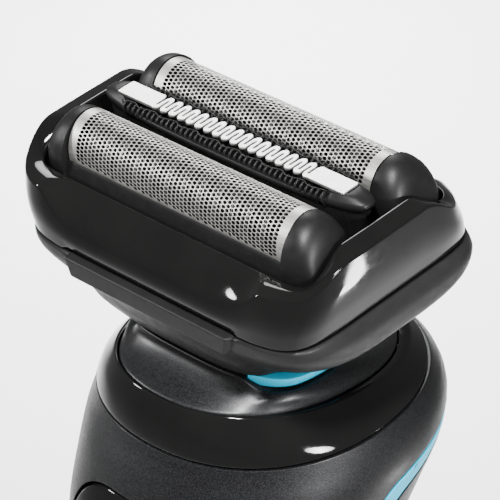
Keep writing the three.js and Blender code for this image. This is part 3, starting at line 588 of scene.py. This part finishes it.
def foil(side, where):
    """A thin arched sheet with long hexagonal holes in staggered rows."""
    pitch, hole, longer = 0.521, 0.248, 1.487
    plain_end, holed_half, thickness = 1.2, 6.95, 0.05
    cy, cz, cs = arch_curve()
    half = cs[-1]
    verts, faces = [], []

    def keep(points):
        start = len(verts)
        verts.extend(points)
        return list(range(start, start + len(points)))

    step = longer * pitch * math.sqrt(3) / 2
    columns, rows = int(FOIL_HALF / step) + 2, int(half / pitch) + 2
    corner = [(longer * math.cos(k * math.pi / 3), math.sin(k * math.pi / 3)) for k in range(6)]
    for i in range(-columns, columns + 1):
        for j in range(-rows, rows + 1):
            x, s = i * step, (j + 0.5 * (i % 2)) * pitch
            cell = [(x + c * pitch / math.sqrt(3), s + d * pitch / math.sqrt(3)) for c, d in corner]
            if abs(x) < FOIL_HALF - plain_end and abs(s) < holed_half:
                outer = keep(cell)
                inner = keep([(x + c * hole, s + d * hole) for c, d in corner])
                faces += [(outer[k], outer[k - 5], inner[k - 5], inner[k]) for k in range(6)]
                continue
            for axis, limit in ((0, FOIL_HALF), (1, half)):
                cell = clip(cell, axis, limit, 1)
                cell = clip(cell, axis, -limit, -1) if cell else cell
            if len(cell) > 2:
                faces.append(tuple(keep(cell)))
    x, s = np.array(verts).T
    points = np.stack([x, side * FOIL_Y + np.interp(s, cs, cy), np.interp(s, cs, cz)], -1)
    obj = Build().add(points, faces).object(f"foil_sheet_{where}", head=True)
    bm = bmesh.new()
    bm.from_mesh(obj.data)
    bmesh.ops.remove_doubles(bm, verts=bm.verts, dist=0.01 * MM)
    bmesh.ops.recalc_face_normals(bm, faces=bm.faces)
    bm.to_mesh(obj.data)
    bm.free()
    mod = obj.modifiers.new("sheet", "SOLIDIFY")
    mod.thickness = thickness * MM
    mod.offset = -1
    apply_modifiers(obj)
    body = f"foil_unit_{where}"
    finish_piece(obj, body, FOIL, [f"foil_{where}"], sharp=45, weighted=False)


def foil_frame(side, where):
    """Two rails with a rounded dome across each end."""
    middle = side * FOIL_Y
    # Half widths away from the trimmer and towards it.
    away, towards = 4.9, 4.2
    half_front, half_rear = (towards, away) if side > 0 else (away, towards)
    foot, eaves, crown, tip = -11.0, -5.6, 0.45, 22.8
    reach = FOIL_HALF + 0.25
    t = np.linspace(0, np.pi, 40)
    build = Build()
    for end in (-1, 1):
        rows = []
        for u in np.concatenate([[0, 0.04], np.sin(np.linspace(0.1, np.pi / 2, 22))]):
            x = (reach + (tip - reach) * u) * end
            tall = max(1 - u**2.5, 0) ** (1 / 2.3)
            wide = 0.6 + 0.4 * max(1 - u**2.4, 0) ** 0.5
            y = middle + np.cos(t) * (np.where(np.cos(t) * side > 0, away, towards) * wide)
            z = eaves + (crown - eaves) * tall * np.sin(t) ** 0.9
            arch = np.stack([np.full(len(t), x), y, z], -1)
            feet = np.array([[x, middle - half_front * wide, foot], [x, middle + half_rear * wide, foot]])
            rows.append(np.concatenate([arch, feet]))
        build.grid(np.array(rows), close_rows=False, caps=True)
    for across in (-1, 1):
        out = (away if across == side else towards) * across
        ledge, inner = 4.1 * across, 3.96 * across
        corners = [(out, foot), (out, -8.4), (ledge, -4.9), (inner, -4.6), (inner, foot)]
        rail = np.array([[(x, middle + y, z) for y, z in corners] for x in (-reach - 0.2, 0, reach + 0.2)])
        build.grid(rounded(rail, (0.2, 1.2, 0.2, 0.05, 0.15), 6), close_rows=False, caps=True)
    obj = build.object(f"foil_holder_{where}", head=True)
    body = f"foil_unit_{where}"
    finish_piece(obj, body, SATIN, [f"foil_frame_{where}"], sharp=40)


def cutter(side, where):
    """Thin curved lamellae on a spine, close under the foil."""
    build = Build()
    t = np.linspace(0, np.pi, 22)
    y0 = side * FOIL_Y
    big, small, foot = 3.3, 2.3, -6.4
    outer = np.stack([big * np.cos(t), FOIL_Z + 3.85 * np.sin(t)], -1)
    inner = np.stack([small * np.cos(t[::-1]), FOIL_Z + 2.8 * np.sin(t[::-1])], -1)
    outline = np.concatenate([[(big, foot)], outer, [(-big, foot), (-small, foot)], inner, [(small, foot)]])
    outline[:, 0] += y0
    half_thick, pitch = 0.16, 0.9
    for x in np.arange(-16.2, 16.3, pitch):
        build.prism(outline, x - half_thick, x + half_thick, 0.04, axis=0)
    near, far, low, high = y0 - 2.6, y0 + 2.6, -6.6, -5.2
    build.prism([(near, low), (far, low), (far, high), (near, high)], -16.5, 16.5, 0.3, axis=0)
    obj = build.object(f"lamellae_{where}", head=True)
    nodes = [f"cutter_block_{where}"]
    # The lamellae take the darkened steel, painted shade under the foil.
    finish_piece(obj, f"cutter_{where}", LAMELLA_PAINTED_SHADE, nodes, weighted=False)


# ---------- head: middle trimmer ----------
def comb():
    """A rounded bar with a trough for the blade and a row of ribs along each side."""
    angle = turns(240)
    corners = np.stack(
        [
            ring(angle, -7.0, 21.2, 2.7, 0, 2.8),
            ring(angle, -2.1, 21.6, 2.85, 0, 2.8),
            ring(angle, -1.5, 22.25, 3.2, 0, 2.8),
            ring(angle, -0.9, 22.1, 3.1, 0, 2.8),
            ring(angle, -0.6, 21.6, 2.9, 0, 2.8),
            ring(angle, -0.16, 20.4, 2.3, 0, 3.4),
            ring(angle, -0.12, 19.42, 1.68, 0, 12),
            ring(angle, -1.6, 19.42, 1.68, 0, 12),
        ],
        1,
    )
    # Between the ends the sides dip, and the ribs stand on them.
    from_middle = np.abs(corners[:, :, 0])
    dip = smooth((17.3 - from_middle) / 0.4) * (from_middle < 17.1)
    for k, depth in ((3, 0.1), (4, 0.4), (5, 0.9), (6, 0.9)):
        corners[:, k, 2] -= depth * dip[:, k]
    build = Build().grid(rounded(corners, (0.3, 0.3, 0.4, 0.3, 0.6, 0.5, 0.1, 0.05), 4))
    build.prism([(-19.6, -1.8), (19.6, -1.8), (19.6, 1.8), (-19.6, 1.8)], -6.9, -1.55, 0.1)
    rib_half, rib_pitch, rib_deep = 0.14, 0.84, 1.2
    rib_top = [(1.75, -0.5), (1.9, -0.3), (2.2, -0.2), (2.5, -0.26)]
    rib_top += [(2.72, -0.45), (2.84, -0.75), (2.88, -1.1)]
    for middle in np.arange(-20, 20.5) * rib_pitch:
        x0, x1 = middle - rib_half, middle + rib_half
        for s in (-1, 1):
            rows = []
            for y, z in rib_top:
                under = (s * y * 0.8, z - rib_deep)
                rows.append([(x0, s * y, z), (x1, s * y, z), (x1, *under), (x0, *under)])
            build.grid(rounded(np.array(rows), (0.09, 0.09, 0.02, 0.02), 4), close_rows=False, caps=True)
    # Two thin ridges wave along the blade's sides: slowly inwards, then quickly out again.
    x = np.linspace(-16.9, 16.9, 170)
    wave_length, slow = 3.6, 0.68
    phase = (x / wave_length) % 1
    inwards, outwards = smooth(1 - phase / slow), smooth((phase - slow) / 0.32)
    wave = 1.85 + 0.45 * np.where(phase < slow, inwards, outwards)
    level = np.full(len(x), -0.26)
    for s in (-1, 1):
        tube = []
        for k in np.arange(6) * np.pi / 3:
            tube.append(np.stack([x, s * wave + 0.06 * math.cos(k), level + 0.1 * math.sin(k)], -1))
        build.grid(np.stack(tube, 1), close_rows=False, caps=True)
    obj = build.object("comb_ribbed", head=True)
    finish_piece(obj, "trimmer_unit", SATIN, ["trimmer_comb"])


def blade():
    """One flat sheet: an end plate at each end and slots cut in turn from both sides."""
    period, teeth, slot = 1.51, 18, 0.16
    tip, foot, inner = 1.46, 0.5, -0.72
    quarter_turn = np.linspace(0, np.pi / 2, 5)

    def notch(x, side):
        """One slot and the flanks of the lobes on both of its sides."""
        points = []
        for t in np.linspace(0, 1, 9):
            y = tip - (tip - foot) * t
            half = period / 2 - (period / 2 - slot) * (1 - (1 - t) ** 2.2) ** 0.5
            points.append((half, y))
        points += [(slot, y) for y in (0.35, 0.0, -0.35)]
        points += [(slot * math.cos(a), inner + slot - slot * math.sin(a)) for a in quarter_turn]
        right = points[::-1]
        left = [(-px, py) for px, py in points]
        return [(x + px, side * py) for px, py in left + right[1:]]

    start = -period * teeth / 2
    upper, lower = [], []
    for k in range(teeth):
        upper += notch(start + period * (k + 0.5), 1)
        if k:
            lower += notch(start + period * k, -1)
    # The end plates, with their corners rounded by r.
    plate, half, r, closest = 19.15, 1.37, 0.25, 0.02
    corner = [(math.cos(a) * r, math.sin(a) * r) for a in quarter_turn]
    right_top = [(0.1 - start, half)] + [(plate - r + c, half - r + s) for c, s in corner[::-1]]
    right_low = [(plate - r + c, r - half - s) for c, s in corner] + [(-start - 0.35, -half)]
    left_low = [(start + 0.35, -half)] + [(r - plate - c, r - half - s) for c, s in corner[::-1]]
    left_top = [(r - plate - c, half - r + s) for c, s in corner] + [(start - 0.1, half)]
    outline = upper + right_top + right_low + lower[::-1] + left_low + left_top
    cleaned = [outline[0]]
    for p in outline[1:]:
        if math.hypot(p[0] - cleaned[-1][0], p[1] - cleaned[-1][1]) > closest:
            cleaned.append(p)
    obj = Build().prism(cleaned, -0.36, 0.02, 0.05).object("zigzag_blade", head=True)
    finish_piece(obj, "trimmer_unit", BLADE, ["trimmer_blade"])


# ---------- head: springs ----------
def springs():
    """Coils that stand in the head base, under what they carry."""
    places = [
        ("foil_spring_front_left", -19.4, -7.2, -11.2, "foil_float_front"),
        ("foil_spring_front_right", 19.4, -7.2, -11.2, "foil_float_front"),
        ("foil_spring_rear_left", -19.4, 7.2, -11.2, "foil_float_rear"),
        ("foil_spring_rear_right", 19.4, 7.2, -11.2, "foil_float_rear"),
        ("trimmer_spring_left", -16.4, 0, -7.2, "trimmer_float"),
        ("trimmer_spring_right", 16.4, 0, -7.2, "trimmer_float"),
    ]
    floor, travel, axis = -17.8, 1.4, (0, -math.sin(TILT), math.cos(TILT))
    radius, wire, clear, coils, flat_end = 1.25, 0.22, 0.26, 5, 0.08
    t = np.linspace(0, 1, 120)
    a = t * 2 * np.pi * coils
    out = np.stack([np.cos(a), np.sin(a), 0 * a], -1)
    up = np.array([0, 0, 1.0])
    for name, x, y, top, joint in places:
        low = floor + clear
        rise = low + (top - clear - low) * np.clip((t - flat_end) / 0.84, 0, 1)
        path = np.stack([x + radius * np.cos(a), y + radius * np.sin(a), rise], -1)
        rows = [path + wire * (out * math.cos(k) + up * math.sin(k)) for k in np.arange(8) * np.pi / 4]
        build = Build().grid(np.stack(rows, 1), close_rows=False, caps=True)
        obj = build.object(name + "_coil", head=True)
        finish_piece(obj, "swivel_head", STEEL, [name], weighted=False)
        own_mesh(obj)


# ---------- neck and shoulder ----------
def accent_ring():
    """A band around the neck, open in front where the collar's wall stands."""
    half_opening, low, high, inner = 0.61, 131.7, 133.4, (12.7, 6.3, 1.9, 4)
    angle = -np.pi / 2 + np.linspace(half_opening, 2 * np.pi - half_opening, 200)
    corners = np.stack(
        [
            ring(angle, low, 13.8, 7.7, 2.1, 3.2),
            ring(angle, 132.5, 14.5, 7.85, 1.9, 3.2),
            ring(angle, high, 14.9, 7.9, 1.7, 3.2),
            ring(angle, high, *inner),
            ring(angle, low, *inner),
        ],
        1,
    )
    build = Build().grid(rounded(corners, (0.25, 0.6, 0.35, 0.2, 0.2), 6), close_rows=False, caps=True)
    obj = build.object("accent_band")
    finish_piece(obj, "handle", ACCENT, ["accent_ring"], sharp=50)


def collar():
    """Flares from the shoulder up to the ring and rises in front as a wall."""
    angle = turns(320)
    rows = [
        ring(angle, *row)
        for row in (
            (126.6, 15.7, 17.6, 6, 2.3),
            (129.1, 15.8, 17.6, 6, 2.3),
            (129.75, 15.6, 15.6, 5.35, 2.4),
            (130.45, 15.1, 12.2, 3.9, 2.8),
            (131.0, 14.5, 9.2, 2.5, 3.2),
            (131.3, 14.1, 8.4, 2.1, 3.2),
            (131.3, 11.4, 5.8, 2.5, 4),
            (126.6, 11.4, 5.8, 2.5, 4),
        )
    ]
    # How much of the wall's rise each row takes, and how far it moves forward.
    wall_height, wall_half = 1.8, 11.6
    for k, share, forward in ((3, 0.12, 0), (4, 0.6, 0.35), (5, 1, 0.75), (6, 1, 1.4)):
        rise = share * smooth((wall_half - np.abs(rows[k][:, 0])) / 3.0) * (rows[k][:, 1] < 0)
        rows[k][:, 2] += wall_height * rise
        rows[k][:, 1] -= forward * rise
    corners = rounded(np.stack(rows, 1), (0.2, 0.35, 2.5, 2.5, 1.2, 0.35, 0.2, 0.2), 6)
    obj = Build().grid(corners).object("collar_flare")
    finish_piece(obj, "handle", METALLIC, ["neck_collar"], sharp=50)


def seam_height(y, offset):
    return 124.56 + 0.13 * (y - HEAD_Y) + offset


def surface(angle, z, inset=0.0):
    """Points of the handle's surface at heights z, one for each direction."""
    a, b, y, n = section(z, inset)
    c, s = np.cos(angle), np.sin(angle)
    r = (np.abs(c) ** n + np.abs(s) ** n) ** (-1 / n)
    return np.stack([a * r * c, y + b * r * s, z], -1)


def seam_row(angle, offset, inset=0.0):
    """The heights at which the sloping shoulder seam meets the handle's surface."""
    z = np.full(len(angle), 124.5)
    for _ in range(6):
        z = seam_height(surface(angle, z, inset)[:, 1], offset)
    return z


def shoulder():
    """The gloss ring between the handle's seam and the collar."""
    angle = turns(280)
    low = seam_row(angle, GAP / 2)
    rows = [surface(angle, low + (SHOULDER_TOP - low) * w) for w in (0, 0.25, 0.5, 0.75, 1)]
    hole, thick = (16.1, 17.9, 6, 2.25), 1.6
    rows.append(ring(angle, SHOULDER_TOP, *hole))
    rows.append(ring(angle, SHOULDER_TOP - thick, *hole))
    rows.append(surface(angle, low, thick))
    corners = rounded(np.stack(rows, 1), (0.25, 1.5, 1.5, 1.5, 0.3, 0.2, 0.2, 0.2), 5)
    obj = Build().grid(corners).object("shoulder_gloss")
    finish_piece(obj, "handle", GLOSS, ["shoulder_cover"], sharp=55)


# ---------- handle shells ----------
def handle_solid(name, low, high, inset=0.0, count=176, seam=None):
    """The handle's outer shape between two heights, or up to the shoulder seam."""
    angle = turns(count)
    levels = np.linspace(0, 1, max(2, int((high - low) / 1.5)))
    top = np.full(count, high) if seam is None else seam_row(angle, seam, inset)
    rows = np.array([surface(angle, low + (top - low) * w, inset) for w in levels])
    build = Build().grid(rows, close_rows=False)
    for row, flip in ((rows[0], True), (rows[-1], False)):
        verts = np.concatenate([row, [row.mean(0)]])
        faces = [(i, (i + 1) % count, count) for i in range(count)]
        build.add(verts, [f[::-1] for f in faces] if flip else faces)
    return build.object(name)


def prism_x(points, x0=-40.0, x1=40.0):
    rows = np.array([[(x, y, z) for y, z in points] for x in (x0, x1)])
    return Build().grid(rows, close_rows=False, caps=True).object("tool")


def prism_y(points, y0, y1):
    rows = np.array([[(x, y, z) for x, z in points] for y in (y0, y1)])
    return Build().grid(rows, close_rows=False, caps=True).object("tool")


def behind_strip(shift, widths=0.0, top=STRIP_TOP, low=-5.0):
    """The space behind and below a side strip's front edge, moved square to it."""
    z = STRIP_TOP - (STRIP_TOP - CAP_TOP) * np.linspace(1, 0, 70) ** 1.8
    y = spline(z, STRIP[:, 0], STRIP[:, 1])
    distance = shift + widths * spline(z, STRIP[:, 0], STRIP[:, 2])
    along = np.stack([np.gradient(y), np.gradient(z)], -1)
    along /= np.linalg.norm(along, axis=1, keepdims=True)
    edge = list(zip(y + along[:, 1] * distance, z - along[:, 0] * distance))
    if top > STRIP_TOP:
        edge.append((edge[-1][0], top))
    return prism_x([(edge[0][0], low), *edge, (60, top), (60, low)])


def panel_outline(grow):
    """A tall shape with round corners, narrower at its foot."""
    half, top, low, low_half, r, low_r = 13 + grow, 114.6 + grow, 26 - grow, 8.5 + grow, 9, 6

    def quarter(start, x, z, radius):
        t = start + np.linspace(0, np.pi / 2, 20)
        return [(x + radius * math.cos(k), z + radius * math.sin(k)) for k in t]

    return [
        *quarter(0, half - r, top - r, r),
        *quarter(np.pi / 2, r - half, top - r, r),
        *quarter(np.pi, low_r - low_half, low + low_r, low_r),
        *quarter(1.5 * np.pi, low_half - low_r, low + low_r, low_r),
    ]


def oval_outline(half, low, high, n):
    x, z = oval(turns(96), half, (high - low) / 2, (low + high) / 2, n)
    return list(zip(x, z))


def button_outline(grow):
    return oval_outline(7.2 + grow, 78.5 - grow, 97.5 + grow, 2.4)


def window_outline(grow):
    return oval_outline(4.2 + grow, 46.5 - grow, 57.5 + grow, 3.5)


def grip_prism(half, low, high):
    return prism_y(oval_outline(half, low, high, 5), 4, 60)


def handle_shells():
    """Cuts one hollow wall into the shells, strips, panel, button and window."""
    whole = handle_solid("shell_front", CAP_TOP + GAP, SHOULDER_TOP, seam=-GAP / 2)
    core = handle_solid("core", CAP_TOP, SHOULDER_TOP, WALL, seam=0.8)
    combine(whole, [core])
    discard(core)

    def copy(name):
        obj = bpy.data.objects.new(name, whole.data.copy())
        bpy.context.scene.collection.objects.link(obj)
        return obj

    rear, left, right, panel = (copy(n) for n in ("shell_rear", "strip_left", "strip_right", "panel_gloss"))
    button, window = copy("button_cap"), copy("window_lens")

    tools = [prism_y(panel_outline(GAP), *INTO_FRONT), behind_strip(-GAP, 0, STRIP_TOP + GAP)]
    combine(whole, tools)
    discard(*tools)
    soften(whole)
    finish_piece(whole, "handle", METALLIC, ["front_shell"], sharp=30)

    # The pocket for the grip is a little larger and deeper than the grip.
    pocket_deep, pocket_half, pocket_low, pocket_high = 1.15, 11.8, 27.7, 92.3
    grip_skin = handle_solid("skin", GRIP_LOW, GRIP_HIGH, -2)
    grip_core = handle_solid("skin_core", GRIP_LOW - 1, GRIP_HIGH + 1, pocket_deep)
    combine(grip_skin, [grip_core])
    grip_window = grip_prism(pocket_half, pocket_low, pocket_high)
    combine(grip_skin, keep=[grip_window])
    keep = behind_strip(GAP, 1)
    combine(rear, [grip_skin], [keep])
    discard(grip_skin, grip_core, grip_window, keep)
    soften(rear)
    finish_piece(rear, "handle", METALLIC, ["rear_shell"], sharp=30)

    ahead, beyond = behind_strip(0), behind_strip(0, 1, STRIP_TOP + 2, -9)
    for obj, hand, x0, x1 in ((left, "left", -60, -3), (right, "right", 3, 60)):
        side = prism_x([(-60, -5), (60, -5), (60, 200), (-60, 200)], x0, x1)
        combine(obj, [beyond], [ahead, side])
        discard(side)
        soften(obj, 0.2)
        finish_piece(obj, "handle", ACCENT, [f"side_strip_{hand}"], sharp=30)
    discard(ahead, beyond)

    outline = prism_y(panel_outline(0), *INTO_FRONT)
    holes = [prism_y(button_outline(GAP), *THROUGH_FRONT), prism_y(window_outline(GAP), *THROUGH_FRONT)]
    combine(panel, holes, [outline])
    discard(outline, *holes)
    soften(panel, 0.25)
    finish_piece(panel, "handle", GLOSS, ["front_panel"], sharp=30)

    outline = prism_y(button_outline(0), *INTO_FRONT)
    combine(button, keep=[outline])
    discard(outline)
    soften(button, 0.35, segments=3)
    finish_piece(button, "button", GLOSS, ["power_button"], sharp=30)

    outline = prism_y(window_outline(0), *INTO_FRONT)
    combine(window, keep=[outline])
    discard(outline)
    soften(window, 0.2)
    finish_piece(window, "handle", LENS, ["indicator_window"], sharp=30)


def rear_grip():
    """A rubber skin, slightly sunk into the rear shell."""
    thick, half, low, high = 0.9, 11.5, 28, 92
    skin = handle_solid("grip_pad", GRIP_LOW, GRIP_HIGH, count=240)
    core = handle_solid("grip_core", GRIP_LOW - 1, GRIP_HIGH + 1, thick, count=240)
    window = grip_prism(half, low, high)
    combine(skin, [core], [window])
    discard(core, window)
    soften(skin, 0.2)
    finish_piece(skin, "handle", RUBBER, ["rear_grip"], sharp=30)


def bottom_cap():
    """A cup with an opening for the charging plug and two stepped screw holes."""
    count, floor = 200, 3.5
    angle = turns(count)
    inside, socket = (15.6, 12, 0.3, 2.6), (4.9, 3.4, 5, 14)
    rows = [ring(angle, 0, 14.8, 11.4, 0.3, 2.6)]
    rows += [surface(angle, np.full(count, z)) for z in (0.3, 1.2, 2.6, 4, 6, CAP_TOP)]
    rows += [ring(angle, CAP_TOP, *inside), ring(angle, floor, *inside)]
    rows += [ring(angle, floor, *socket), ring(angle, 0, *socket)]
    radii = (0.3, 0.4, 0.8, 1, 1, 1, 0.25, 0.2, 0.3, 0.2, 0.5)
    obj = Build().grid(rounded(np.stack(rows, 1), radii, 4)).object("cap_shell")
    tools = []
    wide, narrow, step = 1.9, 1.1, 2.2
    for x in (-11, 11):
        levels = ((-1, wide), (step, wide), (step, narrow), (9, narrow))
        rings = np.array([ring(turns(40), z, r, r) + (x, 0, 0) for z, r in levels])
        tools.append(Build().grid(rings, close_rows=False, caps=True).object("tool"))
    combine(obj, tools)
    discard(*tools)
    finish_piece(obj, "handle", SATIN, ["bottom_cap"], sharp=35)


cassette()
base()
for place, place_name in ((-1, "front"), (1, "rear")):
    foil(place, place_name)
    foil_frame(place, place_name)
    cutter(place, place_name)
comb()
blade()
springs()
accent_ring()
collar()
shoulder()
handle_shells()
rear_grip()
bottom_cap()


# ---------- stage, light and camera ----------
def stage():
    """White paper under the shaver, 3 m square."""
    size = 1500
    corners = [(-size, -size, 0), (size, -size, 0), (size, size, 0), (-size, size, 0)]
    floor = Build().add(corners, [(0, 1, 2, 3)]).object("floor")
    m = Nodes("floor_paper")
    m.link(m.mix(m.noise(40, 3), (0.86, 0.86, 0.86), (0.9, 0.9, 0.9)), m.shader.inputs["Base Color"])
    m.link(m.spread(m.noise(300, 3), 0.75, 0.9), m.shader.inputs["Roughness"])
    floor.data.materials.append(m.material)


def softbox(name, place, target, size, power, spread=180):
    """An oval lamp. Metres, watts and degrees; it never shows itself to the camera."""
    data = bpy.data.lights.new(name, "AREA")
    data.shape = "ELLIPSE"
    data.size, data.size_y = size
    data.energy = power
    data.spread = math.radians(spread)
    obj = bpy.data.objects.new(name, data)
    obj.location = place
    obj.rotation_euler = (Vector(target) - Vector(place)).to_track_quat("-Z", "Y").to_euler()
    obj.visible_camera = False
    bpy.context.scene.collection.objects.link(obj)


def lighting():
    world = bpy.data.worlds.new("studio")
    world.use_nodes = True
    background = world.node_tree.nodes["Background"]
    background.inputs["Color"].default_value = (1, 1, 1, 1)
    background.inputs["Strength"].default_value = 0.27
    bpy.context.scene.world = world
    head, neck, base_side, paper = (0, 0, 0.15), (0, 0, 0.13), (0.025, -0.005, 0.152), (-0.27, 0.27, 0)
    softbox("key", (0.36, -0.65, 1.21), head, size=(0.2, 0.2), power=0.85, spread=20)
    softbox("fill", (-0.55, -0.39, 0.31), head, size=(0.1, 0.2), power=0.14, spread=30)
    softbox("low_side", (0.59, -0.09, 0.27), neck, size=(0.2, 0.08), power=0.16, spread=24)
    softbox("back", (-0.62, 0.46, 0.79), head, size=(0.45, 0.35), power=0.5, spread=50)
    softbox("table", (0.136, 0.141, 0.005), base_side, size=(0.022, 0.022), power=0.09)
    softbox("backdrop", (-0.27, 0.27, 1.2), paper, size=(0.1, 0.1), power=2.2, spread=30)


def camera():
    data = bpy.data.cameras.new("camera")
    data.lens, data.sensor_width = 222.8, 36
    data.clip_start, data.clip_end = 0.01, 20
    obj = bpy.data.objects.new("camera", data)
    azimuth, elevation = math.radians(44.87), math.radians(29.23)
    flat = math.cos(elevation)
    back = Vector((math.sin(azimuth) * flat, -math.cos(azimuth) * flat, math.sin(elevation)))
    obj.location = (0.23455, -0.23118, 0.32886)
    obj.rotation_euler = back.to_track_quat("Z", "Y").to_euler()
    bpy.context.scene.collection.objects.link(obj)
    bpy.context.scene.camera = obj


stage()
lighting()
camera()
